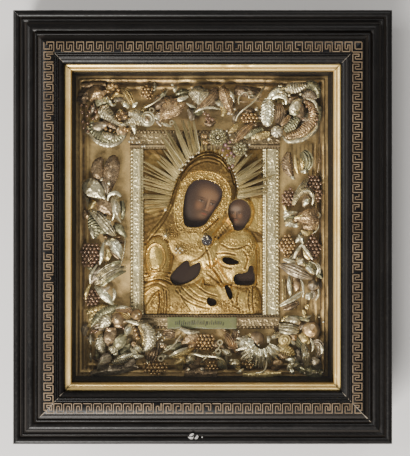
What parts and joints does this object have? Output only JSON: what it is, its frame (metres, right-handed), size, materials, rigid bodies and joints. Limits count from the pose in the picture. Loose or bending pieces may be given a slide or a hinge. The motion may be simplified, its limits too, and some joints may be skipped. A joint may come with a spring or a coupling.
{
  "type": "icon panel",
  "caption": "Small painted icon under a chased gilt cover with rays, set among foil vine leaves and grapes in a deep glazed case with a black moulded frame.",
  "frame": {"origin": "Middle of the case's back face, on the surface that it lies on.", "axes": "+X across the front to the icon's right-hand edge as seen, +Y up the front to the icon's top, +Z out of the glass towards the viewer."},
  "size_m": [0.4006, 0.4586, 0.0903],
  "materials": {
    "ebonised_wood": "black shellac over turned and planed mouldings, satin, worn grey on the edges",
    "gilt_slip": "water-gilt wood, burnished on its two edges",
    "bare_wood": "planed pine, aged and unfinished",
    "clear_glass": "old clear window glass with a faint grey haze of dust",
    "painted_panel": "egg tempera on gesso, darkened oil varnish",
    "gilt_brass": "thin gilt brass sheet, chased and punched, browned in the hollows",
    "silver_foil": "thin silvered foil, crumpled and veined, bright on the ridges",
    "copper_foil": "thin coppered foil, satin, browned",
    "grape_beads": "small lacquered metal beads wired in bunches, glossy amber-brown",
    "green_enamel": "pale green glassy enamel on copper with dark strokes"
  },
  "bodies": {
    "root": {"left_wall": "ebonised_wood", "right_wall": "ebonised_wood", "top_wall": "ebonised_wood", "bottom_wall": "ebonised_wood", "left_lining": "ebonised_wood", "right_lining": "ebonised_wood", "top_lining": "ebonised_wood", "bottom_lining": "ebonised_wood", "left_rail": "ebonised_wood", "right_rail": "ebonised_wood", "top_rail": "ebonised_wood", "bottom_rail": "ebonised_wood", "left_slip": "gilt_slip", "right_slip": "gilt_slip", "top_slip": "gilt_slip", "bottom_slip": "gilt_slip", "back_board": "bare_wood", "ground_board": "bare_wood", "glass_pane": "clear_glass", "icon_board": "painted_panel", "ground_sheet": "gilt_brass", "chased_cover": "gilt_brass", "halo_rays": "gilt_brass", "crown_rosette": "gilt_brass", "tulip_leaf_right": "gilt_brass", "gold_leaf_bottom": "gilt_brass", "left_strip": "silver_foil", "right_strip": "silver_foil", "top_strip": "silver_foil", "bottom_strip": "silver_foil", "cartouche_top_left": "silver_foil", "cartouche_top_right": "silver_foil", "cartouche_bottom_left": "silver_foil", "cartouche_bottom_right": "silver_foil", "round_leaf_left": "silver_foil", "folded_leaf_left": "silver_foil", "long_leaf_left": "silver_foil", "broad_leaf_left": "silver_foil", "ribbed_leaf_left": "silver_foil", "silver_leaf_right": "silver_foil", "curved_leaf_right": "silver_foil", "pale_leaf_top": "silver_foil", "shell_leaf_bottom": "silver_foil", "stem_top": "silver_foil", "stem_bottom": "silver_foil", "brown_leaf_left": "copper_foil", "copper_leaf_right": "copper_foil", "copper_leaf_top": "copper_foil", "lobed_leaf_top": "copper_foil", "grapes_left_upper": "grape_beads", "grapes_left_lower": "grape_beads", "grapes_right_top": "grape_beads", "grapes_right_middle": "grape_beads", "grapes_right_outer": "grape_beads", "grapes_right_dark": "grape_beads", "grapes_top_left": "grape_beads", "grapes_top_right": "grape_beads", "grapes_bottom_left": "grape_beads", "grapes_bottom_middle": "grape_beads", "title_plate": "green_enamel"}
  },
  "joints": []
}
